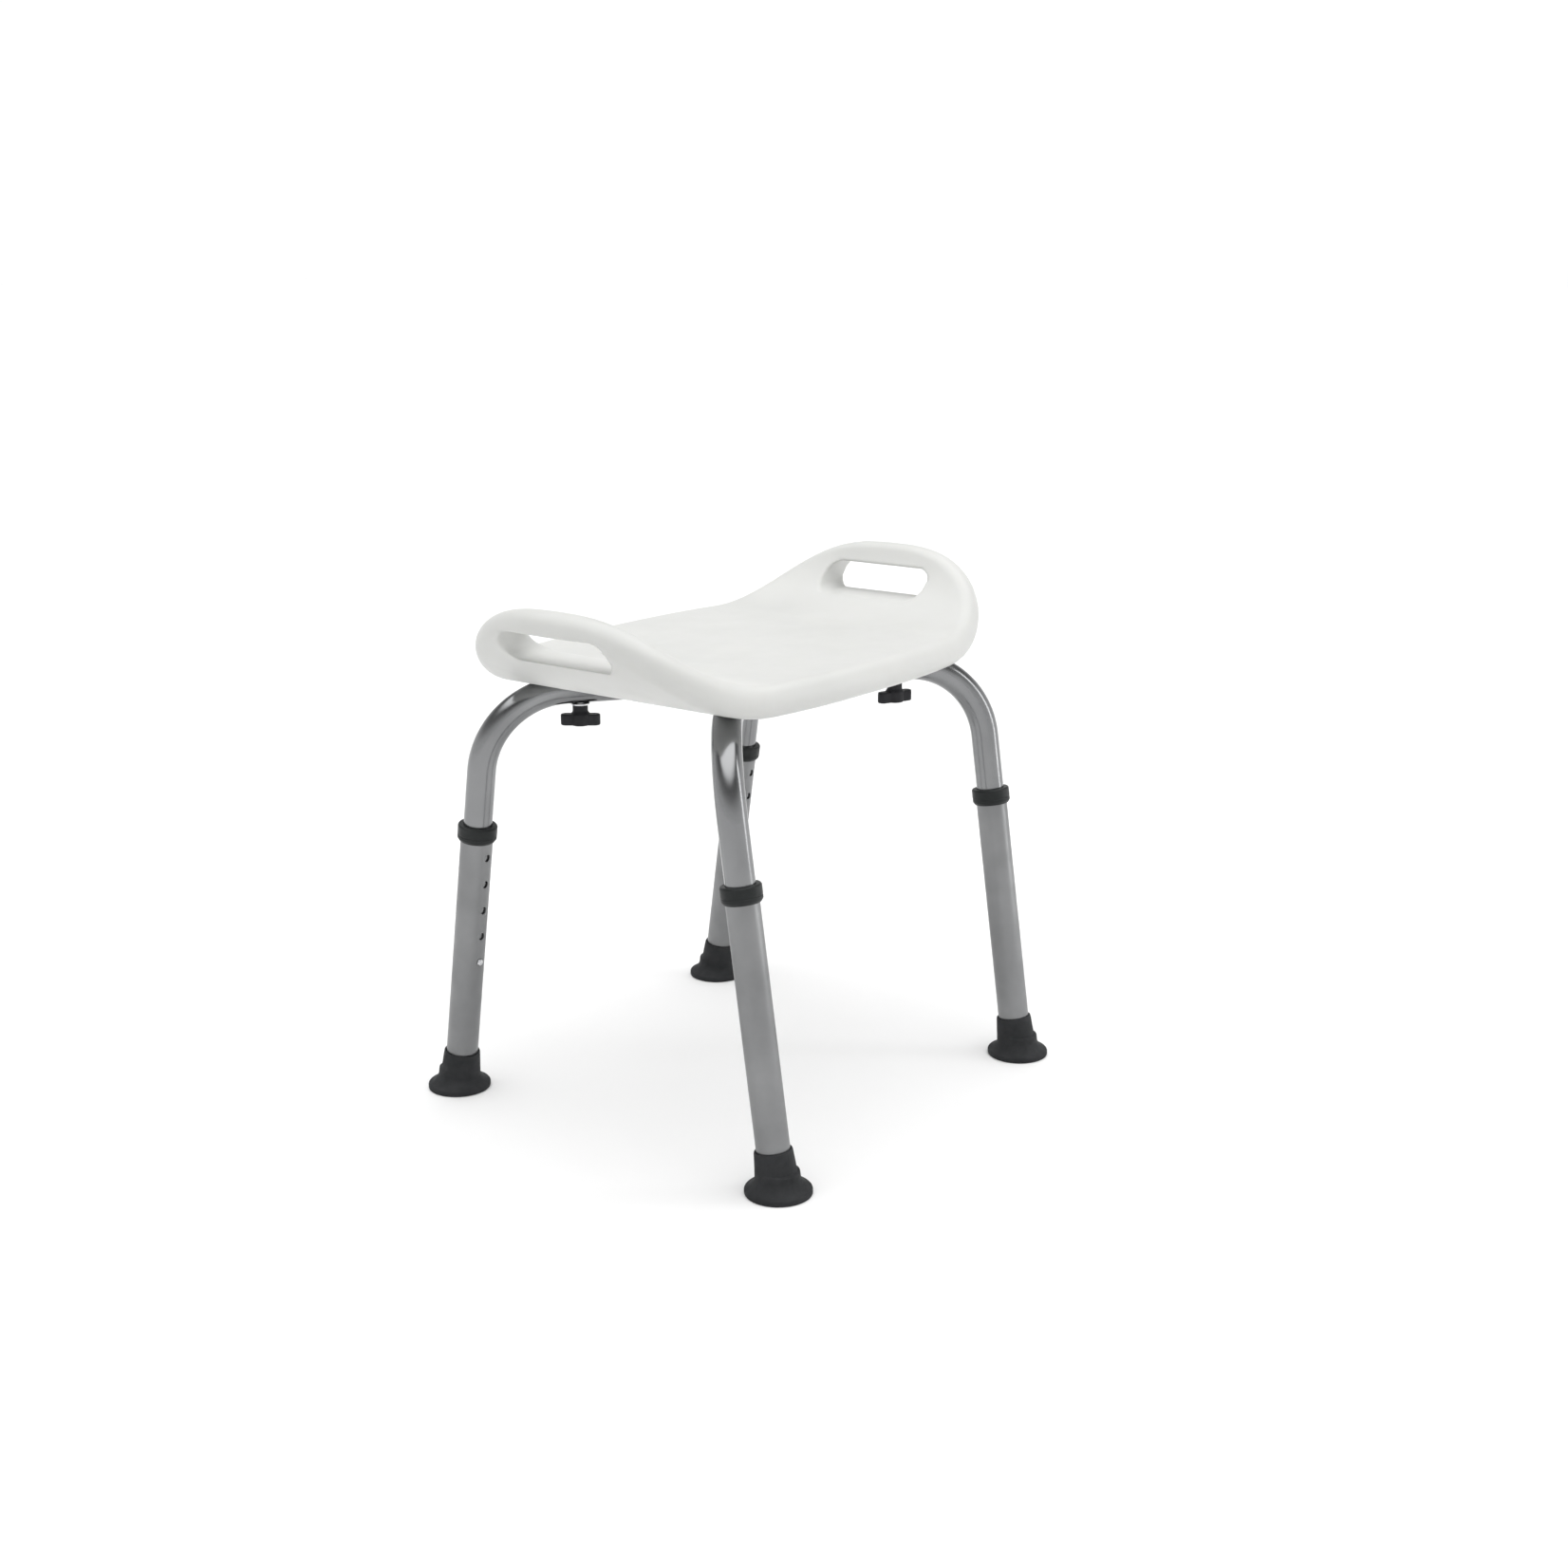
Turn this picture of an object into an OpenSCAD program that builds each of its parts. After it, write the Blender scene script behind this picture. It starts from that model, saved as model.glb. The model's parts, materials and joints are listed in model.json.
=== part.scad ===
// Shower chair: moulded saddle seat on two crossed bent tubes, with four
// telescopic legs that lock with snap buttons. Millimetres, +Z up.
// Origin: on the floor, midway between the four feet.
// X runs along the seat from handle to handle, -Y is the front edge.

/* [Seat] */
// Length of the seat panel measured along its curve, from end to end
seat_curve_len = 551.8; // [520:1:580]
// Depth of the seat from front edge to back edge
seat_depth = 312; // [280:1:320]
// Thickness of the moulded panel
seat_thick = 28; // [24:1:32]
// Height of the panel's middle layer above the floor, at the centre
seat_mid_z = 397.3; // [396:0.1:400]
// Half length of the flat middle of the seat
seat_flat_half = 131; // [110:1:145]
// Radius of the bend that turns each end up
seat_curl_r = 128.7; // [110:1:150]
// Angle that each end is turned up by
seat_curl_deg = 55; // [40:1:60]
// Radius of the rounded rim
seat_rim_r = 12; // [8:1:13]
// Wall of the hollow moulding
seat_wall = 3.2; // [2.5:0.1:4]
// Width of each hand slot, front to back
slot_len = 118; // [100:1:130]
// Height of each hand slot
slot_h = 27; // [24:1:32]
// Height of the middle of the hand slots above the floor
slot_z = 439; // [436:1:442]

/* [Frame] */
// Outside diameter of the bent frame tubes
frame_od = 25.4; // [25:0.1:25.8]
// Wall of all the tubes
tube_wall = 1.2; // [1:0.1:1.3]
// Height of the axis of the frame tubes under the seat
frame_z = 378; // [376:1:380]
// Bend radius of the frame tubes, on the axis
bend_r = 76; // [70:1:80]
// Distance from the middle of the chair to a foot, along X
foot_x = 190; // [180:1:200]
// Distance from the middle of the chair to a foot, along Y
foot_y = 186; // [180:1:195]
// Outward lean of the legs, front and back
lean = 8.3; // [6:0.1:9]

/* [Legs] */
// Outside diameter of the lower leg tubes
leg_od = 28.6; // [28.6:0.1:29]
// Length along the leg from the floor to the top of the lower tube
leg_top = 259.2; // [256:0.1:262]
// Number of height settings
hole_count = 5; // [3:1:5]
// Spacing of the height settings
hole_pitch = 25.4; // [20:0.1:25.4]
// Diameter of the holes for the snap buttons
hole_d = 6.8; // [6.6:0.1:7.4]
// Length along the leg from the floor to the lowest hole
hole_low = 131.4; // [128:0.1:134]
// Outside diameter of the collar at the top of a leg
collar_od = 35; // [34:0.5:38]
// Height of the collar
collar_h = 15; // [12:0.5:18]

/* [Feet] */
// Diameter of the flat sole
sole_d = 57; // [50:1:60]
// Thickness of the rim of the sole
sole_h = 5; // [4:0.5:6]
// Height of the foot along the leg
foot_h = 37.6; // [34:0.1:42]

/* [Knobs] */
// Distance from the centre of the chair to a knob, along the tube
knob_at = 148.4; // [146:0.1:150]
// Length of the knob's wing bar
knob_bar_len = 35; // [30:1:38]
// Height of the knob's wing bar
knob_bar_h = 10; // [8:0.5:12]
// Height of the underside of the wing bar above the floor
knob_bar_z = 345.3; // [343:0.1:347]
// Diameter of the knob's stem
knob_stem_d = 13.6; // [12:0.1:15]
// Diameter of the threaded stud
stud_d = 7.8; // [7.6:0.1:8]

/* [Snap buttons] */
// Diameter of the button
button_d = 6.2; // [5.6:0.1:6.2]
// How far the button stands out of the lower tube
button_out = 2; // [1.5:0.1:2.5]

/* [Hidden] */
// Side of each corner: x sign, then y sign
FL = [-1, -1];
FR = [1, -1];
BL = [-1, 1];
BR = [1, 1];

frame_r = frame_od / 2;
frame_bore = frame_r - tube_wall;
leg_r = leg_od / 2;
leg_bore = leg_r - tube_wall;
corner_y = foot_y - frame_z * tan(lean);
diag_deg = atan2(corner_y, foot_x);
diag_len = norm([foot_x, corner_y]);
bend_deg = acos(sin(lean) * sin(diag_deg));
roll_deg = atan(tan(lean) * cos(diag_deg));
bend_start = diag_len - bend_r * tan(bend_deg / 2);
leg_corner = frame_z / cos(lean);
bend_end = leg_corner - bend_r * tan(bend_deg / 2);
// Length along the leg from the floor to the lower end of a frame tube
frame_low = 105;

// How much a tube's radius draws in along its bend
bend_draw = 0.05;
// How far the straight lengths run into the bend
bend_lap = 0.05;
// Gap between the pressed faces where the frame tubes cross
flat_gap = 0.1;
// Half length of a pressed face
dimple_half = 20;

// Steps around the rim of the seat, and around the outline of its skin and cavity
rim_steps = 6;
seat_n = 72;
cavity_n = 40;
// How square the outline is: 2 is an ellipse, higher is squarer
front_power = 2.733;
end_power = 2.575;
seat_under = seat_mid_z - seat_thick / 2;
// Clearance of the frame tubes in their channels
groove_gap = 0.3;
groove_top = frame_z + frame_r + groove_gap;
insert_d = 12;
insert_len = 12;
// Distance from the leg's axis to the outer face of the button's flange
flange_at = 10.2;

// ---------- placing ----------

module at_corner(side) {
    mirror([side[0] < 0 ? 1 : 0, 0, 0])
    mirror([0, side[1] < 0 ? 1 : 0, 0])
    children();
}

// Leg frame: Z runs up the leg from the floor, +Y faces out from the chair.
module on_leg(side) {
    at_corner(side)
    translate([foot_x, foot_y, 0])
    rotate([lean, 0, 0])
    children();
}

module at_knob(side) {
    at_corner(side)
    rotate([0, 0, diag_deg])
    translate([knob_at, 0, 0])
    rotate([0, 0, -diag_deg])
    children();
}

// ---------- seat ----------

function clamp(v, low, high) = min(max(v, low), high);

function curl_at(s) = clamp((s - seat_flat_half) / seat_curl_r * 180 / PI, 0, seat_curl_deg);

function past_curl(s) = max(0, s - seat_flat_half - seat_curl_r * seat_curl_deg * PI / 180);

// A point of the panel: u along its curve, v across it, h off its middle layer.
function seat_point(u, v, h) =
    let (s = abs(u), a = curl_at(s), rest = past_curl(s))
    [
        sign(u) * (min(s, seat_flat_half) + (seat_curl_r - h) * sin(a) + rest * cos(a)),
        v,
        seat_mid_z + seat_curl_r * (1 - cos(a)) + rest * sin(a) + h * cos(a)
    ];

function outline_point(t, half_len, half_depth) = [
    sign(cos(t)) * pow(abs(cos(t)), 2 / end_power) * half_len,
    sign(sin(t)) * pow(abs(sin(t)), 2 / front_power) * half_depth
];

// Each ring is [inset from the rim, height, scale].
function seat_rings(thick, rim, rows) = [
    for (k = [1 : rows]) [rim, thick / 2, k / (rows + 0.5)],
    for (k = [0 : rim_steps])
        let (a = 180 * k / rim_steps)
        [rim * (1 - sin(a)), thick / 2 * cos(a), 1],
    for (k = [rows : -1 : 1]) [rim, -thick / 2, k / (rows + 0.5)]
];

module seat_panel(trim, rim, rows, n) {
    half_len = seat_curve_len / 2 - trim;
    half_depth = seat_depth / 2 - trim;
    thick = seat_thick - 2 * trim;
    rings = seat_rings(thick, rim, rows);
    last = len(rings) - 1;
    around = [
        for (ring = rings) for (k = [0 : n - 1])
            let (p = outline_point(360 * k / n, half_len - ring[0], half_depth - ring[0]))
            seat_point(p[0] * ring[2], p[1] * ring[2], ring[1])
    ];
    points = concat(around, [seat_point(0, 0, thick / 2), seat_point(0, 0, -thick / 2)]);
    top = len(around);
    sides = [
        for (r = [0 : last - 1]) for (k = [0 : n - 1]) for (half = [0, 1])
            let (a = r * n + k, b = r * n + (k + 1) % n)
            half == 0 ? [a, b, b + n] : [a, b + n, a + n]
    ];
    caps = [
        for (k = [0 : n - 1]) for (half = [0, 1])
            half == 0
                ? [top, (k + 1) % n, k]
                : [top + 1, last * n + k, last * n + (k + 1) % n]
    ];
    polyhedron(points, concat(sides, caps));
}

module hand_slot(grow) {
    for (side = [-1, 1])
        hull()
            for (end = [-1, 1])
                translate([side * 225, end * (slot_len - slot_h) / 2, slot_z])
                rotate([0, 90, 0])
                cylinder(r = slot_h / 2 + grow, h = 130, center = true, $fn = 24);
}

// Channels in the underside that the frame tubes lie in.
module tube_grooves(grow) {
    r = frame_r + groove_gap + grow;
    for (side = [FL, FR, BL, BR])
        at_corner(side)
        in_bend() {
            translate([bend_r, 0, 0])
            rotate([90, 0, 0])
            cylinder(r = r, h = bend_start, $fn = 20);
            rotate_extrude(angle = bend_deg, $fn = 36)
            translate([bend_r, 0])
            circle(r = r, $fn = 20);
        }
}

// Solid posts, from skin to skin, that hold the threaded inserts.
module insert_posts() {
    for (side = [FL, FR, BL, BR])
        at_corner(side)
        rotate([0, 0, diag_deg])
        hull()
            for (end = [-1, 1])
                translate([knob_at - 6 + end * 6, 0, seat_under - 1])
                cylinder(r = 9.7, h = seat_thick + 2, $fn = 20);
}

module seat() {
    color([0.93, 0.93, 0.91])
    difference() {
        seat_panel(0, seat_rim_r, 9, seat_n);
        difference() {
            seat_panel(seat_wall, seat_rim_r - seat_wall, 6, cavity_n);
            hand_slot(seat_wall);
            tube_grooves(seat_wall);
            insert_posts();
            translate([0, 0, seat_under - 1])
            cylinder(r = 16 + seat_wall, h = 13 + seat_wall, $fn = 48);
        }
        hand_slot(0);
        tube_grooves(0);
        // pocket for the head of the rivet
        translate([0, 0, seat_under - 1])
        cylinder(r = 16, h = 13, $fn = 48);
        // blow hole of the moulding
        translate([0, 60, seat_under - 1])
        cylinder(r = 3, h = 8, $fn = 24);
        for (side = [FL, FR, BL, BR])
            at_knob(side)
            translate([0, 0, seat_under])
            cylinder(r = insert_d / 2 + 0.06, h = groove_top + insert_len + 0.3 - seat_under, $fn = 48);
    }
}

module seat_inserts() {
    color([0.72, 0.6, 0.32])
    for (side = [FL, FR, BL, BR])
        at_knob(side)
        translate([0, 0, groove_top])
        difference() {
            cylinder(r = insert_d / 2, h = insert_len, $fn = 48);
            translate([0, 0, -1])
            cylinder(r = stud_d / 2 + 0.2, h = insert_len - 0.5, $fn = 48);
        }
}

// ---------- frame ----------

// Frame of a bend: the tube comes in along -Y at X = bend_r and turns about Z.
module in_bend() {
    rotate([0, 0, diag_deg])
    translate([bend_start, 0, frame_z])
    rotate([roll_deg, 0, 0])
    translate([0, 0, -bend_r])
    rotate([-90, 0, 0])
    rotate([0, 0, -90])
    children();
}

// Straight middle of a frame tube, from one bend to the other.
module frame_middle(r) {
    rotate([0, 0, diag_deg])
    translate([0, 0, frame_z])
    rotate([0, 90, 0])
    cylinder(r = r, h = 2 * (bend_start + bend_lap), center = true, $fn = 64);
}

// Bend of a frame tube, where the tube draws in a little.
module frame_bend(r) {
    in_bend()
    rotate_extrude(angle = bend_deg, $fn = 128)
    translate([bend_r, 0])
    circle(r = r - bend_draw, $fn = 64);
}

// Straight leg of a frame tube, down to its lower end.
module frame_leg(r, low) {
    in_bend()
    rotate([0, 0, bend_deg])
    translate([bend_r, -bend_lap, 0])
    rotate([-90, 0, 0])
    cylinder(r = r, h = bend_end - low + bend_lap, $fn = 64);
}

// Dimple pressed into a frame tube where it crosses the other one.
module dimple(trim, up) {
    flat_z = up * (flat_gap / 2 + trim);
    half = dimple_half + trim * tan(22.5);
    rotate([0, 0, diag_deg])
    translate([0, frame_od, frame_z])
    rotate([90, 0, 0])
    linear_extrude(2 * frame_od)
    polygon([
        [-half, flat_z],
        [half, flat_z],
        [half + 20, flat_z - up * 20],
        [-half - 20, flat_z - up * 20]
    ]);
}

module frame_solid(trim, low) {
    frame_middle(frame_r - trim);
    for (turn = [0, 180])
        rotate([0, 0, turn]) {
            frame_bend(frame_r - trim);
            frame_leg(frame_r - trim, low);
        }
}

module frame_tube(up) {
    color([0.78, 0.79, 0.8])
    difference() {
        frame_solid(0, frame_low);
        difference() {
            frame_solid(tube_wall, frame_low - 1);
            dimple(tube_wall, up);
        }
        dimple(0, up);
        for (turn = [0, 180])
            rotate([0, 0, turn]) {
                rotate([0, 0, diag_deg])
                translate([knob_at, 0, frame_z - 20])
                cylinder(r = stud_d / 2 + 0.4, h = 40, $fn = 32);
                translate([foot_x, foot_y, 0])
                rotate([lean, 0, 0])
                translate([0, 0, hole_low])
                rotate([90, 0, 0])
                cylinder(r = hole_d / 2, h = leg_od, $fn = 32);
            }
        translate([0, 0, frame_z - 20])
        cylinder(r = 4.2, h = 40, $fn = 32);
    }
}

module frame_tube_a() {
    mirror([1, 0, 0])
    frame_tube(1);
}

module frame_tube_b() {
    frame_tube(-1);
}

module centre_rivet() {
    color([0.7, 0.7, 0.71])
    translate([0, 0, frame_z]) {
        translate([0, 0, -frame_r - 1.4])
        cylinder(r = 4, h = frame_od + 1.6, $fn = 32);
        translate([0, 0, frame_r + 0.1])
        cylinder(r1 = 7, r2 = 5, h = 2.2, $fn = 48);
        translate([0, 0, -frame_r - 3.8])
        cylinder(r1 = 4.5, r2 = 6.5, h = 2.4, $fn = 48);
    }
}

module rivet_washer() {
    color([0.7, 0.7, 0.71])
    translate([0, 0, frame_z - frame_r - 1.3])
    difference() {
        cylinder(r = 9, h = 1.2, $fn = 48);
        translate([0, 0, -1])
        cylinder(r = 4.2, h = 4, $fn = 32);
    }
}

// ---------- legs ----------

module leg_tube(side) {
    color([0.62, 0.63, 0.65])
    on_leg(side)
    difference() {
        translate([0, 0, 7.6])
        cylinder(r = leg_r, h = leg_top - 7.6, $fn = 64);
        translate([0, 0, 5])
        cylinder(r = leg_bore, h = leg_top, $fn = 64);
        for (k = [0 : hole_count - 1])
            translate([0, 0, hole_low + k * hole_pitch])
            rotate([90, 0, 0])
            cylinder(r = hole_d / 2, h = leg_od, $fn = 32);
    }
}

module collar(side) {
    r = collar_od / 2;
    color([0.16, 0.17, 0.17])
    on_leg(side)
    translate([0, 0, leg_top + 2.3])
    rotate_extrude($fn = 64)
    polygon([
        [frame_r + 0.06, 0], [r - 1.2, 0], [r, -1.2],
        [r, -collar_h + 2.6], [r - 1.8, -collar_h], [leg_r + 0.03, -collar_h],
        [leg_r + 0.03, -2.2], [frame_r + 0.06, -2.2]
    ]);
}

module snap_button(side) {
    tip = leg_r + button_out;
    color([0.72, 0.73, 0.75])
    on_leg(side)
    translate([0, 0, hole_low])
    rotate([90, 0, 0])
    rotate_extrude($fn = 48)
    polygon([
        [0, 6], [1.5, 6], [1.5, 9], [4.2, 9], [4.2, flange_at],
        [button_d / 2, flange_at], [button_d / 2, tip - 1.8],
        [button_d / 2 - 0.35, tip - 0.9], [button_d / 2 - 1.1, tip - 0.3],
        [button_d / 2 - 2, tip], [0, tip]
    ]);
}

// Folded strip inside the tube that pushes the button out.
module leaf_spring(side) {
    color([0.6, 0.61, 0.63])
    on_leg(side)
    difference() {
        translate([-4, 0, hole_low])
        rotate([90, 0, 90])
        linear_extrude(8)
        polygon([
            [10.4, 8.6], [9.6, 8.6], [1, -18.2], [-0.4, -18.2],
            [-8.8, 6.6], [-9.6, 6.6], [-1.2, -19.4], [1.8, -19.4]
        ]);
        translate([0, -2, hole_low])
        rotate([90, 0, 0])
        cylinder(r = 1.8, h = 10, $fn = 32);
    }
}

// ---------- feet ----------

module foot(side) {
    r = sole_d / 2;
    color([0.26, 0.27, 0.28])
    difference() {
        union() {
            at_corner(side)
            translate([foot_x, foot_y, 0])
            rotate_extrude($fn = 96)
            polygon([
                [0, 0], [r - 0.6, 0], [r, 0.8], [r, sole_h - 1], [r - 0.8, sole_h],
                [r - 3.4, sole_h + 0.9], [r - 5.8, sole_h + 2.6],
                [r - 7.9, sole_h + 4.9], [r - 9.4, sole_h + 7.8], [0, sole_h + 7.8]
            ]);
            on_leg(side)
            translate([0, 0, 8])
            cylinder(r1 = 18.6, r2 = 16.3, h = foot_h - 9, $fn = 64);
            on_leg(side)
            translate([0, 0, foot_h - 1.02])
            cylinder(r1 = 16.3, r2 = 15.5, h = 1.02, $fn = 64);
        }
        on_leg(side)
        translate([0, 0, 6])
        cylinder(r = leg_r + 0.03, h = foot_h, $fn = 64);
        // tread rings under the sole
        at_corner(side)
        translate([foot_x, foot_y, 0])
        for (groove = [11, 18])
            translate([0, 0, -1])
            difference() {
                cylinder(r = groove + 2, h = 2.2, $fn = 64);
                translate([0, 0, -1])
                cylinder(r = groove, h = 5, $fn = 64);
            }
    }
}

module foot_washer(side) {
    color([0.68, 0.69, 0.7])
    on_leg(side)
    translate([0, 0, 6.1])
    difference() {
        cylinder(r = leg_r - 0.3, h = 1.4, $fn = 64);
        translate([0, 0, -1])
        cylinder(r = 4, h = 4, $fn = 32);
    }
}

// ---------- knobs ----------

module knob(side, turn) {
    stem_top = frame_z - frame_r - 1.4;
    half = (knob_bar_len - knob_bar_h) / 2;
    color([0.13, 0.13, 0.14])
    at_knob(side)
    difference() {
        union() {
            translate([0, 0, knob_bar_z + 2])
            cylinder(r = knob_stem_d / 2, h = stem_top - knob_bar_z - 2, $fn = 48);
            translate([0, 0, knob_bar_z])
            rotate([0, 0, turn * side[0] * side[1]]) {
                translate([-half, -knob_bar_h / 2, 0])
                cube([2 * half, knob_bar_h, knob_bar_h]);
                for (end = [-1, 1])
                    translate([end * half, 0, 0])
                    cylinder(r = knob_bar_h / 2, h = knob_bar_h, $fn = 48);
            }
            translate([0, 0, knob_bar_z + knob_bar_h])
            cylinder(r1 = 8.6, r2 = knob_stem_d / 2, h = 2.5, $fn = 48);
            translate([0, 0, knob_bar_z])
            cylinder(r = 8.6, h = knob_bar_h + 0.02, $fn = 48);
        }
        translate([0, 0, knob_bar_z + 5])
        cylinder(r = stud_d / 2 + 0.03, h = 40, $fn = 48);
    }
}

module knob_stud(side) {
    top = groove_top + insert_len - 1.8;
    low = knob_bar_z + 5.2;
    color([0.74, 0.75, 0.76])
    at_knob(side)
    translate([0, 0, low]) {
        cylinder(r = stud_d / 2, h = top - low - 1, $fn = 48);
        translate([0, 0, top - low - 1])
        cylinder(r1 = stud_d / 2, r2 = stud_d / 2 - 0.9, h = 1, $fn = 48);
    }
}

module knob_washer(side) {
    color([0.72, 0.73, 0.74])
    at_knob(side)
    translate([0, 0, frame_z - frame_r - 1.3])
    difference() {
        cylinder(r = 8.4, h = 1.2, $fn = 48);
        translate([0, 0, -1])
        cylinder(r = stud_d / 2 + 0.3, h = 4, $fn = 48);
    }
}

// ---------- drawing ----------

seat();
seat_inserts();
frame_tube_a();
frame_tube_b();
centre_rivet();
rivet_washer();
leg_tube(FL);  // leg_tube_front_left
leg_tube(FR);  // leg_tube_front_right
leg_tube(BL);  // leg_tube_back_left
leg_tube(BR);  // leg_tube_back_right
collar(FL);  // collar_front_left
collar(FR);  // collar_front_right
collar(BL);  // collar_back_left
collar(BR);  // collar_back_right
foot(FL);  // foot_front_left
foot(FR);  // foot_front_right
foot(BL);  // foot_back_left
foot(BR);  // foot_back_right
foot_washer(FL);  // foot_washer_front_left
foot_washer(FR);  // foot_washer_front_right
foot_washer(BL);  // foot_washer_back_left
foot_washer(BR);  // foot_washer_back_right
snap_button(FL);  // snap_button_front_left
snap_button(FR);  // snap_button_front_right
snap_button(BL);  // snap_button_back_left
snap_button(BR);  // snap_button_back_right
leaf_spring(FL);  // leaf_spring_front_left
leaf_spring(FR);  // leaf_spring_front_right
leaf_spring(BL);  // leaf_spring_back_left
leaf_spring(BR);  // leaf_spring_back_right
knob(FL, 34);  // knob_front_left
knob(FR, -23);  // knob_front_right
knob(BL, -53);  // knob_back_left
knob(BR, 34);  // knob_back_right
knob_stud(FL);  // knob_stud_front_left
knob_stud(FR);  // knob_stud_front_right
knob_stud(BL);  // knob_stud_back_left
knob_stud(BR);  // knob_stud_back_right
knob_washer(FL);  // knob_washer_front_left
knob_washer(FR);  // knob_washer_front_right
knob_washer(BL);  // knob_washer_back_left
knob_washer(BR);  // knob_washer_back_right
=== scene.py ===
import json
import math
import bpy
import bmesh
from mathutils import Matrix, Vector


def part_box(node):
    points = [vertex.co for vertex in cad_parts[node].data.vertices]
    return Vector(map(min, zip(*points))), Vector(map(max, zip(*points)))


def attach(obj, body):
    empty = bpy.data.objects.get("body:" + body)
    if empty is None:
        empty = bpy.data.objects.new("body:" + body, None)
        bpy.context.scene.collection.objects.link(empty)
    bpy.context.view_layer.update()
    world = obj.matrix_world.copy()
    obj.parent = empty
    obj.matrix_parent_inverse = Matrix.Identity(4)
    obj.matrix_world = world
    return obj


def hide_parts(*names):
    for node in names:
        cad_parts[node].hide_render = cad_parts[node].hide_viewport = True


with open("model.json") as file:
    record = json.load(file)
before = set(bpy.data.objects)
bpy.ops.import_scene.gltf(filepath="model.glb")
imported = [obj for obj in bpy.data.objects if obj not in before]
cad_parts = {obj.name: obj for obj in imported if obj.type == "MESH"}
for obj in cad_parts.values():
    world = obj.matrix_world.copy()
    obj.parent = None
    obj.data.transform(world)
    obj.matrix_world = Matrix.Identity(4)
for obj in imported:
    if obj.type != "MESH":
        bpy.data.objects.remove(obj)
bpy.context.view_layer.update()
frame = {"nodes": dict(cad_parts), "record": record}
record = frame["record"]
nodes = frame["nodes"]
MM = 0.001
CORNERS = {              # the signs of x and y
    "front_left": (-1, -1),
    "front_right": (1, -1),
    "back_left": (-1, 1),
    "back_right": (1, 1),
}


# ---------------------------------------------------------------- sizes, mm

LEAN = 8.3               # of a leg, in degrees
FRAME_R, LEG_R, WALL = 12.7, 14.3, 1.2
BEND_R = 76.0
FRAME_Z = 378.0          # height of the crossing tubes' axes
GROOVE_GAP = 0.3         # around the frame tubes, in the seat's channels
PRESS_GAP = 0.03         # around a tube that a foot or a collar is pressed on

# along the leg, from the floor
LEG_LOW, LEG_TOP = 7.6, 259.2
FRAME_LOW = 105.0
HOLES = [131.4 + 25.4 * k for k in range(5)]

BUTTON_HOLE_R = 3.4
STUD_HOLE_R = 4.3
RIVET_HOLE_R = 4.2

sole_lo, sole_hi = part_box("foot_front_right")
FOOT_X = (sole_lo.x + sole_hi.x) / 2 / MM
FOOT_Y = -(sole_lo.y + sole_hi.y) / 2 / MM
knob_lo, knob_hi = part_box("knob_stud_back_right")
KNOB_X = (knob_lo.x + knob_hi.x) / 2 / MM
KNOB_Y = (knob_lo.y + knob_hi.y) / 2 / MM

CORNER_Y = FOOT_Y - FRAME_Z * math.tan(math.radians(LEAN))
DIAG = math.atan2(CORNER_Y, FOOT_X)


# ---------------------------------------------------------------- mesh tools

def link(obj):
    bpy.context.scene.collection.objects.link(obj)
    return obj


def from_bmesh(name, bm):
    """An object, in metres, of a bmesh in millimetres."""
    bmesh.ops.recalc_face_normals(bm, faces=bm.faces)
    bmesh.ops.scale(bm, vec=(MM, MM, MM), verts=bm.verts)
    mesh = bpy.data.meshes.new(name)
    bm.to_mesh(mesh)
    bm.free()
    for p in mesh.polygons:
        p.use_smooth = True
    return link(bpy.data.objects.new(name, mesh))


def soften(points, steps=4):
    """An outline with each (x, y, radius) corner rounded by an arc."""
    out = []
    n = len(points)
    for i, (x, y, r) in enumerate(points):
        p = Vector((x, y))
        if r <= 0:
            out.append((x, y))
            continue
        a = Vector(points[i - 1][:2]) - p
        b = Vector(points[(i + 1) % n][:2]) - p
        half = a.angle(b) / 2
        if half > 1.55:      # the outline runs nearly straight through
            out.append((x, y))
            continue
        cut = min(r / math.tan(half), a.length * 0.49, b.length * 0.49)
        r = cut * math.tan(half)
        mid = (a.normalized() + b.normalized()).normalized() * (r / math.sin(half)) + p
        start = p + a.normalized() * cut
        end = p + b.normalized() * cut
        turn = (start - mid).angle_signed(end - mid)
        for k in range(steps + 1):
            d = (start - mid).copy()
            d.rotate(Matrix.Rotation(-turn * k / steps, 2))
            out.append(tuple(mid + d))
    return out


def skin(bm, rings):
    """Adds faces between each ring of vertices and the next one."""
    for a, b in zip(rings, rings[1:]):
        for k in range(len(a)):
            j = (k + 1) % len(a)
            bm.faces.new((a[k], a[j], b[j], b[k]))


def revolve(bm, outline, sides, place=Matrix(), closed=True):
    """Adds the outline of (r, z) points turned about Z; points on the axis become one vertex."""
    rings = []
    for r, z in outline:
        if r < 1e-6:
            ring = [bm.verts.new(place @ Vector((0, 0, z)))] * sides
        else:
            ring = []
            for k in range(sides):
                a = math.tau * k / sides
                ring.append(bm.verts.new(place @ Vector((r * math.cos(a), r * math.sin(a), z))))
        rings.append(ring)
    pairs = list(zip(rings, rings[1:]))
    if closed:
        pairs.append((rings[-1], rings[0]))
    for a, b in pairs:
        for k in range(sides):
            corners = [a[k], a[(k + 1) % sides], b[(k + 1) % sides], b[k]]
            unique = list(dict.fromkeys(corners))
            if len(unique) > 2:
                bm.faces.new(unique)


def rod(name, radius, low, high, place=Matrix(), sides=64):
    """A cutting cylinder along Z."""
    bm = bmesh.new()
    revolve(bm, [(0, low), (radius, low), (radius, high), (0, high)], sides, place, closed=False)
    return from_bmesh(name, bm)


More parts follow.
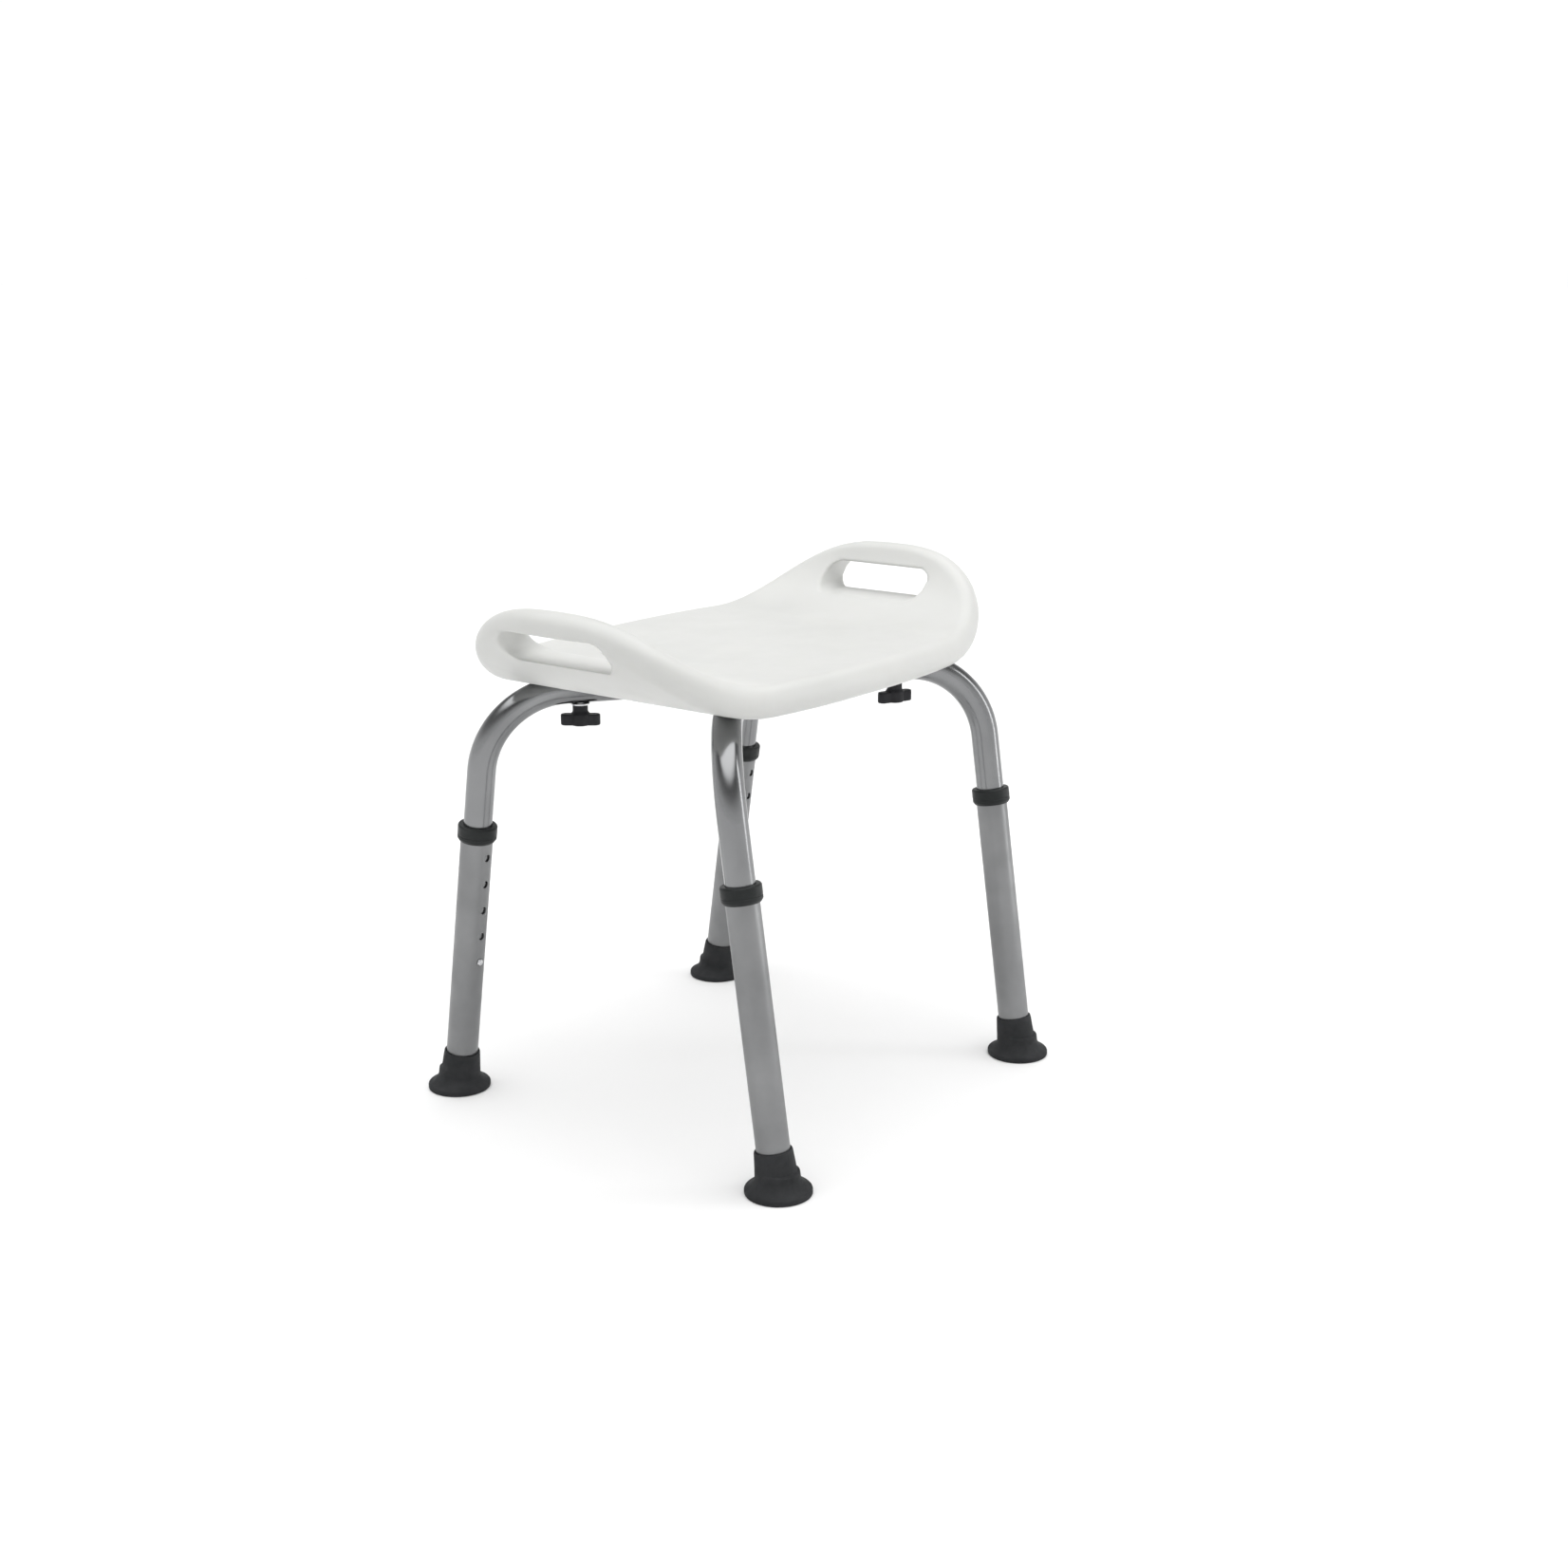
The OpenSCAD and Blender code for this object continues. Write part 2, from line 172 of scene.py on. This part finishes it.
def lathed(name, points, sides, place, closed=True):
    """A turned solid from (r, z, corner radius) points. An open outline ends on the axis."""
    bm = bmesh.new()
    revolve(bm, soften(points), sides, place, closed)
    return from_bmesh(name, bm)


def sweep(name, path, radius, bore, sides, squeeze=None):
    """A tube along a path, hollow when bore is given. squeeze moves a point of the wall."""
    count = len(path)
    tangents = []
    for i in range(count):
        a = path[i] - path[i - 1] if i > 0 else path[1] - path[0]
        b = path[i + 1] - path[i] if i + 1 < count else path[-1] - path[-2]
        tangents.append((a.normalized() + b.normalized()).normalized())
    side = tangents[0].orthogonal().normalized()
    bm = bmesh.new()
    radii = [radius] if bore is None else [radius, bore]
    walls = [[] for r in radii]
    for i, (p, t) in enumerate(zip(path, tangents)):
        if i:
            side.rotate(tangents[i - 1].rotation_difference(t))
        side = (side - t * side.dot(t)).normalized()
        other = t.cross(side)
        for r, wall in zip(radii, walls):
            ring = []
            for k in range(sides):
                a = math.tau * k / sides
                q = p + side * (r * math.cos(a)) + other * (r * math.sin(a))
                if squeeze:
                    q = squeeze(q, radius - r)
                ring.append(bm.verts.new(q))
            wall.append(ring)
    for wall in walls:
        skin(bm, wall)
    for i in (0, -1):
        if bore is None:
            bm.faces.new(walls[0][i])
        else:
            skin(bm, [wall[i] for wall in walls])
    return from_bmesh(name, bm)


def cut_with(obj, *tools, mode="DIFFERENCE"):
    """Applies boolean modifiers to obj and removes the tools."""
    for tool in tools:
        mod = obj.modifiers.new("cut", "BOOLEAN")
        mod.object = tool
        mod.operation = mode
        mod.solver = "EXACT"
    apply_modifiers(obj)
    for tool in tools:
        bpy.data.objects.remove(tool, do_unlink=True)


def apply_modifiers(obj):
    """Puts the modifiers' result in the place of the object's own mesh."""
    bpy.context.view_layer.update()
    dg = bpy.context.evaluated_depsgraph_get()
    mesh = bpy.data.meshes.new_from_object(obj.evaluated_get(dg))
    obj.modifiers.clear()
    old = obj.data
    obj.data = mesh
    bpy.data.meshes.remove(old)


def rounded(obj, voxel, passes):
    """Rebuilds a solid on an even grid and smooths it, which rounds all its edges."""
    remesh = obj.modifiers.new("even", "REMESH")
    remesh.mode = "VOXEL"
    remesh.voxel_size = voxel * MM
    smooth = obj.modifiers.new("soft", "SMOOTH")
    smooth.iterations = passes
    apply_modifiers(obj)
    for p in obj.data.polygons:
        p.use_smooth = True
    return obj


def crisp(obj, angle=35):
    """Smooth shading that keeps the real edges sharp."""
    bm = bmesh.new()
    bm.from_mesh(obj.data)
    limit = math.radians(angle)
    for f in bm.faces:
        f.smooth = True
    for e in bm.edges:
        e.smooth = not (len(e.link_faces) == 2 and e.calc_face_angle(0) > limit)
    bm.to_mesh(obj.data)
    bm.free()
    return obj


# ---------------------------------------------------------------- places and paths

def corner_place(side):
    """The mirror that puts a back right part at a corner."""
    return Matrix.Diagonal((side[0], side[1], 1, 1))


def leg_place(side):
    """Leg frame: Z up the leg, +Y outward."""
    return (
        corner_place(side)
        @ Matrix.Translation((FOOT_X, FOOT_Y, 0))
        @ Matrix.Rotation(math.radians(LEAN), 4, "X")
    )


def knob_place(side):
    """Knob frame: the stud's axis, heights from the floor."""
    return corner_place(side) @ Matrix.Translation((KNOB_X, KNOB_Y, 0))


def hole_place(place, height):
    """A place for a rod that cuts the leg's wall on the side facing the chair's middle."""
    return place @ Matrix.Translation((0, 0, height)) @ Matrix.Rotation(math.pi / 2, 4, "X")


def tube_path(low=FRAME_LOW, steps=40):
    """Centre line of one frame tube, which runs from back right to front left."""
    lean = math.radians(LEAN)
    corner = Vector((FOOT_X, CORNER_Y, FRAME_Z))
    down = Vector((0, math.sin(lean), -math.cos(lean)))
    inward = Vector((-math.cos(DIAG), -math.sin(DIAG), 0))
    turn = math.pi - down.angle(inward)
    cut = BEND_R * math.tan(turn / 2)
    end = Vector((FOOT_X, FOOT_Y, 0)) - down * low
    start = corner + inward * cut
    normal = (down - down.project(inward)).normalized()
    middle = start + normal * BEND_R
    arm = []
    for k in range(steps + 1):
        a = turn * k / steps
        arm.append(middle - normal * BEND_R * math.cos(a) - inward * BEND_R * math.sin(a))
    arm.append(end)
    return [Matrix.Rotation(math.pi, 3, "Z") @ p for p in reversed(arm)] + arm


# ---------------------------------------------------------------- materials

class Shader:
    """A node material: a Principled BSDF with short calls to wire it."""

    def __init__(self, name, color, roughness, metallic=0.0):
        self.mat = bpy.data.materials.new(name)
        self.mat.use_nodes = True
        self.tree = self.mat.node_tree
        self.bsdf = self.tree.nodes["Principled BSDF"]
        self.bsdf.inputs["Base Color"].default_value = (*color, 1)
        self.bsdf.inputs["Roughness"].default_value = roughness
        self.bsdf.inputs["Metallic"].default_value = metallic
        self.coords = self.node("TexCoord").outputs["Object"]

    def node(self, kind, **props):
        n = self.tree.nodes.new("ShaderNode" + kind)
        for key, value in props.items():
            setattr(n, key, value)
        return n

    def wire(self, out, socket):
        self.tree.links.new(out, socket)

    def stretched(self, scale):
        m = self.node("Mapping")
        m.inputs["Scale"].default_value = scale
        self.wire(self.coords, m.inputs["Vector"])
        return m.outputs["Vector"]

    def noise(self, scale, detail=3.0, roughness=0.5, vector=None):
        n = self.node("TexNoise")
        n.inputs["Scale"].default_value = scale
        n.inputs["Detail"].default_value = detail
        n.inputs["Roughness"].default_value = roughness
        self.wire(vector or self.coords, n.inputs["Vector"])
        return n.outputs["Fac"]

    def ramp(self, fac, low, high, top=0.7):
        """Colours from low to high as a noise goes from 0.3 to top."""
        r = self.node("ValToRGB")
        for e, (pos, col) in zip(r.color_ramp.elements, ((0.3, low), (top, high))):
            e.position = pos
            e.color = (*col, 1)
        self.wire(fac, r.inputs["Fac"])
        return r.outputs["Color"]

    def span(self, fac, low, high):
        """Numbers from low to high as a noise goes from 0.3 to 0.7."""
        m = self.node("MapRange")
        m.inputs["From Min"].default_value = 0.3
        m.inputs["From Max"].default_value = 0.7
        m.inputs["To Min"].default_value = low
        m.inputs["To Max"].default_value = high
        self.wire(fac, m.inputs["Value"])
        return m.outputs["Result"]

    def math(self, op, a, b=0.0):
        m = self.node("Math", operation=op)
        for socket, value in zip(m.inputs, (a, b)):
            if isinstance(value, (int, float)):
                socket.default_value = value
            else:
                self.wire(value, socket)
        return m.outputs[0]

    def color(self, out):
        self.wire(out, self.bsdf.inputs["Base Color"])

    def rough(self, out):
        self.wire(out, self.bsdf.inputs["Roughness"])

    def bump(self, height, strength, distance):
        b = self.node("Bump")
        b.inputs["Strength"].default_value = strength
        b.inputs["Distance"].default_value = distance
        self.wire(height, b.inputs["Height"])
        self.wire(b.outputs["Normal"], self.bsdf.inputs["Normal"])


def seat_plastic():
    s = Shader("seat_plastic", (0.8, 0.8, 0.78), 0.42)
    s.bsdf.inputs["Subsurface Weight"].default_value = 0.1
    s.bsdf.inputs["Subsurface Radius"].default_value = (1.0, 1.0, 0.75)
    s.bsdf.inputs["Subsurface Scale"].default_value = 0.006
    s.color(s.ramp(s.noise(9, 4), (0.53, 0.535, 0.52), (0.57, 0.572, 0.556)))
    s.rough(s.span(s.noise(35, 3), 0.38, 0.48))
    pebble = s.math("ADD", s.noise(1100, 2), s.math("MULTIPLY", s.noise(60, 2), 1.5))
    s.bump(pebble, 0.15, 0.0004)
    return s.mat


def tube_metal(name, dark, light, rough_low, rough_high, brush):
    s = Shader(name, light, rough_low, 1.0)
    s.color(s.ramp(s.noise(14, 4), dark, light))
    s.rough(s.span(s.noise(60, 4), rough_low, rough_high))
    s.bump(s.noise(420, 2, 0.6, s.stretched((1, 1, 0.03))), brush, 0.0002)
    return s.mat


def black_plastic(name, low, high, rough_low, rough_high):
    s = Shader(name, low, rough_low)
    s.bsdf.inputs["Specular IOR Level"].default_value = 0.2
    s.color(s.ramp(s.noise(40, 4), low, high))
    s.rough(s.span(s.noise(90, 3), rough_low, rough_high))
    s.bump(s.noise(1500, 2), 0.25, 0.0003)
    return s.mat


def rubber():
    s = Shader("foot_rubber", (0.03, 0.03, 0.032), 0.75)
    s.bsdf.inputs["Specular IOR Level"].default_value = 0.2
    s.color(s.ramp(s.noise(45, 5, 0.6), (0.016, 0.017, 0.018), (0.028, 0.029, 0.031), 0.72))
    s.rough(s.span(s.noise(120, 4), 0.6, 0.8))
    s.bump(s.noise(1100, 3), 0.35, 0.0004)
    return s.mat


def plain_metal(name, low, high, rough_low, rough_high):
    s = Shader(name, low, rough_low, 1.0)
    s.color(s.ramp(s.noise(180, 4), low, high))
    s.rough(s.span(s.noise(300, 3), rough_low, rough_high))
    return s.mat


MATS = {
    "seat_plastic": seat_plastic(),
    "bright_tube": tube_metal(
        "bright_tube", (0.205, 0.208, 0.212), (0.265, 0.269, 0.273), 0.18, 0.26, 0.12),
    "matt_tube": tube_metal(
        "matt_tube", (0.2, 0.203, 0.206), (0.265, 0.268, 0.271), 0.36, 0.46, 0.25),
    "collar_plastic": black_plastic(
        "collar_plastic", (0.011, 0.013, 0.013), (0.02, 0.022, 0.022), 0.35, 0.5),
    "knob_plastic": black_plastic(
        "knob_plastic", (0.012, 0.012, 0.014), (0.02, 0.02, 0.023), 0.4, 0.55),
    "foot_rubber": rubber(),
    "plated_steel": plain_metal(
        "plated_steel", (0.52, 0.53, 0.55), (0.68, 0.68, 0.67), 0.22, 0.4),
    "brass": plain_metal("brass", (0.52, 0.4, 0.17), (0.66, 0.52, 0.25), 0.25, 0.42),
}

body_of_node = {n: body for body, held in record["behaviour"]["bodies"].items() for n in held}
slot_of_node = {p["node"]: p["material_slot"] for p in record["subparts"]}

for node, slot in slot_of_node.items():
    nodes[node].data.materials.clear()
    nodes[node].data.materials.append(MATS[slot])


def stand_for(obj, node):
    """The piece takes over a CAD node: its body, its slot and its material."""
    obj.data.materials.clear()
    obj.data.materials.append(MATS[slot_of_node[node]])
    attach(obj, body_of_node[node])
    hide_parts(node)


# ---------------------------------------------------------------- seat

SEAT_LEN, SEAT_DEPTH, SEAT_THICK = 551.8, 312.0, 28.0
SEAT_Z, SEAT_FLAT, CURL_R, CURL_DEG = 397.3, 131.0, 128.7, 55.0
RIM_R = 12.0
END_POWER, FRONT_POWER = 2.575, 2.733
SLOT_LEN, SLOT_H, SLOT_Z = 118.0, 27.0, 439.0
SLOT_CUT = (150, 300)    # the stretch of X that a slot's tool goes through
POCKET_R, POCKET_DEPTH = 16, 12
BLOW_HOLE_R, BLOW_HOLE_Y, BLOW_HOLE_DEPTH = 3, 60, 7
INSERT_HOLE_R, INSERT_HOLE_DEPTH = 6.06, 12.3


def seat_point(u, v, h):
    """A point of the panel: u along its curve, v across it, h off its middle layer."""
    s = abs(u)
    a = min(max((s - SEAT_FLAT) / CURL_R, 0), math.radians(CURL_DEG))
    rest = max(0, s - SEAT_FLAT - CURL_R * math.radians(CURL_DEG))
    x = min(s, SEAT_FLAT) + (CURL_R - h) * math.sin(a) + rest * math.cos(a)
    z = SEAT_Z + CURL_R * (1 - math.cos(a)) + rest * math.sin(a) + h * math.cos(a)
    return Vector((math.copysign(x, u), v, z))


def seat_outline(t, inset):
    """The (u, v) of the seat's edge at an angle, a superellipse drawn in by inset."""
    c, s = math.cos(t), math.sin(t)
    return (
        math.copysign(abs(c) ** (2 / END_POWER), c) * (SEAT_LEN / 2 - inset),
        math.copysign(abs(s) ** (2 / FRONT_POWER), s) * (SEAT_DEPTH / 2 - inset),
    )


def seat_solid(around=360, rows=36, rim_steps=12):
    """The curved panel with its round rim, as loops from its top to its underside."""
    half = SEAT_THICK / 2
    flat = half - RIM_R
    rings = [(RIM_R, half, (k / rows) ** 0.8) for k in range(1, rows)]
    for k in range(rim_steps + 1):
        a = math.pi * k / rim_steps
        h = flat * (1 - 2 * k / rim_steps) + RIM_R * math.cos(a)
        rings.append((RIM_R * (1 - math.sin(a)), h, 1))
    rings += [(RIM_R, -half, (k / rows) ** 0.8) for k in range(rows - 1, 0, -1)]
    bm = bmesh.new()
    loops = []
    for inset, h, scale in rings:
        loop = []
        for k in range(around):
            u, v = seat_outline(math.tau * k / around, inset)
            loop.append(bm.verts.new(seat_point(u * scale, v * scale, h)))
        loops.append(loop)
    skin(bm, loops)
    for loop, h in ((loops[0], half), (loops[-1], -half)):
        middle = bm.verts.new(seat_point(0, 0, h))
        for k in range(around):
            bm.faces.new((loop[k], loop[(k + 1) % around], middle))
    return from_bmesh("seat_panel", bm)


def slot_tool():
    """Both hand slots: a rounded bar along X through each wing."""
    bm = bmesh.new()
    r, reach, sides = SLOT_H / 2, (SLOT_LEN - SLOT_H) / 2, 64
    for side in (-1, 1):
        rings = []
        for x in SLOT_CUT:
            ring = []
            for k in range(sides):
                a = math.tau * (k + 0.5) / sides
                y = math.cos(a) * r + math.copysign(reach, math.cos(a))
                ring.append(bm.verts.new((side * x, y, SLOT_Z + r * math.sin(a))))
            rings.append(ring)
        skin(bm, rings)
        for ring in rings:
            bm.faces.new(ring)
    return from_bmesh("slots", bm)


def tube_groove(grow):
    """Solid tubes, grown by a gap, that cut the channels for both frame tubes."""
    tools = []
    for mirror in (1, -1):
        path = [Vector((p.x * mirror, p.y, p.z)) for p in tube_path(low=300)]
        tools.append(sweep("groove", path, FRAME_R + grow, None, 64))
    return tools


def build_seat():
    """The saddle with its slots, channels, rivet pocket, blow hole and insert holes."""
    seat = seat_solid()
    seat.name = "seat_saddle"
    under = SEAT_Z - SEAT_THICK / 2
    below = under - 5
    top = FRAME_Z + FRAME_R + GROOVE_GAP
    tools = [slot_tool(), *tube_groove(GROOVE_GAP)]
    tools.append(rod("pocket", POCKET_R, below, under + POCKET_DEPTH))
    blow_place = Matrix.Translation((0, BLOW_HOLE_Y, 0))
    tools.append(rod("blow_hole", BLOW_HOLE_R, below, under + BLOW_HOLE_DEPTH, blow_place))
    for side in CORNERS.values():
        end = top + INSERT_HOLE_DEPTH
        tools.append(rod("insert_hole", INSERT_HOLE_R, below, end, knob_place(side)))
    cut_with(seat, *tools)
    stand_for(rounded(seat, 1.7, 6), "seat")


build_seat()


# ---------------------------------------------------------------- frame tubes

DENT_REACH = 60          # half of the stretch in which the wall can be pressed in
DENT_FLAT = 19.5         # half of the flat in its middle, before the 45 degree slopes
DENT_GAP = 0.15          # from the flat to the tubes' common plane


def dimple(up):
    """Pushes the wall away from the other tube around the crossing: up is 1 or -1."""
    along = Vector((math.cos(DIAG), math.sin(DIAG), 0))

    def squeeze(q, depth):
        s = abs(q.dot(along))
        if s > DENT_REACH:
            return q
        slope_start = DENT_FLAT + depth * math.tan(math.pi / 8)
        limit = DENT_GAP + depth - max(0.0, s - slope_start)
        height = max(up * (q.z - FRAME_Z), limit)
        return Vector((q.x, q.y, FRAME_Z + up * height))

    return squeeze


def frame_tube(name, mirror, up):
    """A bent tube with its rivet, stud and button holes."""
    path = tube_path()
    middle = len(path) // 2
    # rings along the straight middle, closer together where the wall is pressed in
    straight = [-45, -36, -33, -31, -29, -27, -25, -23, -21, -20, -19, -17, -10, 0]
    straight += [-s for s in reversed(straight[:-1])]
    along = Vector((math.cos(DIAG), math.sin(DIAG), 0))
    inner = [Vector((0, 0, FRAME_Z)) + along * s for s in straight]
    path = path[:middle] + inner + path[middle:]
    obj = sweep(name, path, FRAME_R, FRAME_R - WALL, 96, dimple(up))
    below, above = FRAME_Z - 20, FRAME_Z + 20
    tools = [rod("rivet_hole", RIVET_HOLE_R, below, above)]
    for turn in (0, math.pi):
        spin = Matrix.Rotation(turn, 4, "Z")
        tools.append(rod("stud_hole", STUD_HOLE_R, below, above, spin @ knob_place((1, 1))))
        hole = hole_place(spin @ leg_place((1, 1)), HOLES[0])
        tools.append(rod("button_hole", BUTTON_HOLE_R, 0, 28, hole, 48))
    cut_with(obj, *tools)
    if mirror:
        bm = bmesh.new()
        bm.from_mesh(obj.data)
        bmesh.ops.scale(bm, vec=(-1, 1, 1), verts=bm.verts)
        bmesh.ops.recalc_face_normals(bm, faces=bm.faces)
        bm.to_mesh(obj.data)
        bm.free()
    return obj


stand_for(crisp(frame_tube("tube_upper", True, 1)), "frame_tube_a")
stand_for(crisp(frame_tube("tube_lower", False, -1)), "frame_tube_b")


# ---------------------------------------------------------------- legs

def leg_tube(corner, side):
    """The lower tube with its row of button holes."""
    place = leg_place(side)
    bore = LEG_R - WALL
    edge = 0.4
    obj = lathed("lower_tube_" + corner, [
        (LEG_R, LEG_LOW, edge), (LEG_R, LEG_TOP, edge),
        (bore, LEG_TOP, edge), (bore, LEG_LOW, edge),
    ], 96, place)
    tools = [rod("hole", BUTTON_HOLE_R, 4, 28, hole_place(place, z), 48) for z in HOLES]
    cut_with(obj, *tools)
    stand_for(crisp(obj), "leg_tube_" + corner)


def collar(corner, side):
    """A ring on the lower tube's end, with a shoulder that the upper tube passes through."""
    r = 17.5
    top = LEG_TOP + 2.3
    shoulder = top - 2.2
    low = top - 15
    groove = r - 0.35
    inner, outer = FRAME_R + 2 * PRESS_GAP, LEG_R + PRESS_GAP
    obj = lathed("ring_" + corner, [
        (inner, top, 0.3), (r - 0.9, top, 0.8), (r, top - 1.3, 0.6), (r, top - 8.6, 0.2),
        (groove, top - 9.0, 0.2), (groove, top - 9.5, 0.2),
        (r - 0.05, top - 9.9, 0.2), (r - 0.1, top - 12.4, 0.8),
        (r - 1.8, low, 0.6), (outer, low, 0.3), (outer, shoulder, 0), (inner, shoulder, 0),
    ], 96, leg_place(side))
    stand_for(crisp(obj, 50), "collar_" + corner)


def foot(corner, side):
    """A flat sole with two tread grooves, and a leaning sleeve that holds the tube."""
    r = 28.5
    tread = []
    for start in (11, 18):
        tread += [(start, 0, 0.3), (start, 1.2, 0.3), (start + 2, 1.2, 0.3), (start + 2, 0, 0.3)]
    floor_place = corner_place(side) @ Matrix.Translation((FOOT_X, FOOT_Y, 0))
    obj = lathed("foot_" + corner + "_rubber", [
        (0, 0, 0), *tread, (r - 0.3, 0, 0.5), (r, 0.8, 0.4), (r, 4.0, 0.6),
        (r - 0.8, 5.0, 0.6), (r - 3.4, 5.9, 1.2), (r - 5.8, 7.6, 3), (r - 7.9, 9.9, 4),
        (r - 9.8, 13.4, 3), (r - 10.6, 20, 0), (0, 20, 0),
    ], 128, floor_place, closed=False)
    top = 37.6
    sleeve = lathed("sleeve", [
        (0, 8, 0), (18.6, 8, 0), (16.35, top - 1.6, 1.4), (15.9, top, 1.0),
        (LEG_R + 0.3, top, 0.5), (LEG_R + PRESS_GAP, 34, 0), (0, 34, 0),
    ], 128, leg_place(side), closed=False)
    cut_with(obj, sleeve, mode="UNION")
    cut_with(obj, rod("bore", LEG_R + PRESS_GAP, 6, 60, leg_place(side), 128))
    stand_for(rounded(obj, 0.45, 5), "foot_" + corner)


def knob(corner, side, turn):
    """T-shaped hand knob: a boss and two rounded wings on a stem."""
    place = knob_place(side)
    low, high = 345.3, FRAME_Z - FRAME_R - 1.4
    bar_h, boss_r, stem_r, stud_r = 10.0, 8.6, 6.8, 3.93
    obj = lathed("knob_" + corner + "_grip", [
        (0, low, 0), (boss_r, low, 1.2), (boss_r, low + bar_h, 0.8),
        (stem_r, low + bar_h + 2.5, 1.2), (stem_r, high, 0.5),
        (stud_r, high, 0), (stud_r, low + 5, 0), (0, low + 5, 0),
    ], 96, place, closed=False)
    bar_place = (
        place @ Matrix.Translation((0, 0, low)) @ Matrix.Rotation(math.radians(turn), 4, "Z")
    )
    bm = bmesh.new()
    reach, half, around = 12.5, 5.0, 64
    layers = [(0, 1.0), (0.3, 0.3), (1.0, 0)]
    layers += [(bar_h - z, inset) for z, inset in reversed(layers)]
    rings = []
    for z, inset in layers:
        r = half - inset
        ring = []
        for k in range(around):
            a = math.tau * (k + 0.5) / around
            x = math.cos(a) * r + math.copysign(reach, math.cos(a))
            waist = 1 - 0.16 * (1 - min(1, abs(x) / reach)) ** 2
            ring.append(bm.verts.new(bar_place @ Vector((x, math.sin(a) * r * waist, z))))
        rings.append(ring)
    skin(bm, rings)
    bm.faces.new(rings[0])
    bm.faces.new(rings[-1])
    cut_with(obj, from_bmesh("bar", bm), mode="UNION")
    stand_for(rounded(obj, 0.35, 4), "knob_" + corner)


KNOB_TURN = {"front_left": 34, "front_right": -23, "back_left": -53, "back_right": 34}

for corner, side in CORNERS.items():
    leg_tube(corner, side)
    collar(corner, side)
    foot(corner, side)
    knob(corner, side, KNOB_TURN[corner] * side[0] * side[1])


# ---------------------------------------------------------------- camera

def look_from(location, azimuth, elevation, roll):
    """A camera's matrix, from where it stands and its three angles in degrees."""
    a, e = math.radians(azimuth), math.radians(elevation)
    back = Vector((math.sin(a) * math.cos(e), -math.cos(a) * math.cos(e), math.sin(e)))
    right = Vector((math.cos(a), math.sin(a), 0))
    up = back.cross(right)
    turn = Matrix((right, up, back)).transposed().to_4x4()
    return Matrix.Translation(location) @ turn @ Matrix.Rotation(math.radians(roll), 4, "Z")


cam = link(bpy.data.objects.new("camera", bpy.data.cameras.new("camera")))
cam.data.sensor_width = 36
cam.data.lens = 47.8
cam.matrix_world = look_from(
    (-1.4405, -1.1417, 0.7624), azimuth=-52.799, elevation=14.75, roll=-0.1)
bpy.context.scene.camera = cam


# ---------------------------------------------------------------- stage and light

def plane(name, size, place):
    bm = bmesh.new()
    bmesh.ops.create_grid(bm, x_segments=1, y_segments=1, size=0.5)
    bmesh.ops.scale(bm, vec=(size[0], size[1], 1), verts=bm.verts)
    mesh = bpy.data.meshes.new(name)
    bm.to_mesh(mesh)
    bm.free()
    obj = link(bpy.data.objects.new(name, mesh))
    obj.matrix_world = place
    return obj


floor = plane("floor", (60, 60), Matrix())
paint = Shader("floor", (0.82, 0.82, 0.82), 0.9)
paint.color(paint.ramp(paint.noise(1.5, 3), (0.815, 0.815, 0.815), (0.825, 0.825, 0.825)))
floor.data.materials.append(paint.mat)


def sky(stops):
    """A studio dome: brightness by height above the horizon, as (sine of elevation, grey)."""
    world = bpy.data.worlds.new("studio")
    world.use_nodes = True
    tree = world.node_tree
    coords = tree.nodes.new("ShaderNodeTexCoord")
    split = tree.nodes.new("ShaderNodeSeparateXYZ")
    ramp = tree.nodes.new("ShaderNodeValToRGB")
    span = tree.nodes.new("ShaderNodeMapRange")
    span.inputs["From Min"].default_value = -1
    tree.links.new(coords.outputs["Generated"], split.inputs["Vector"])
    tree.links.new(split.outputs["Z"], span.inputs["Value"])
    tree.links.new(span.outputs["Result"], ramp.inputs["Fac"])
    top = max(grey for _, grey in stops)
    while len(ramp.color_ramp.elements) < len(stops):
        ramp.color_ramp.elements.new(0.5)
    for e, (height, grey) in zip(ramp.color_ramp.elements, stops):
        e.position = (height + 1) / 2
        e.color = (grey / top, grey / top, grey / top, 1)
    background = tree.nodes["Background"]
    background.inputs["Strength"].default_value = top
    tree.links.new(ramp.outputs["Color"], background.inputs["Color"])
    bpy.context.scene.world = world


sky([(-0.1, 1.0), (0.16, 1.05), (0.4, 0.4), (0.62, 0.08), (0.74, 2.45), (1.0, 2.45)])


def area_light(name, location, target, size, power):
    light = bpy.data.lights.new(name, "AREA")
    light.shape = "RECTANGLE"
    light.size, light.size_y = size
    light.energy = power
    obj = link(bpy.data.objects.new(name, light))
    obj.location = location
    obj.rotation_euler = (Vector(target) - Vector(location)).to_track_quat("-Z", "Y").to_euler()


area_light("side", (1.5, -1.9, 0.9), (0, 0, 0.3), size=(0.4, 1.8), power=9)

bpy.context.scene.view_settings.view_transform = "Standard"
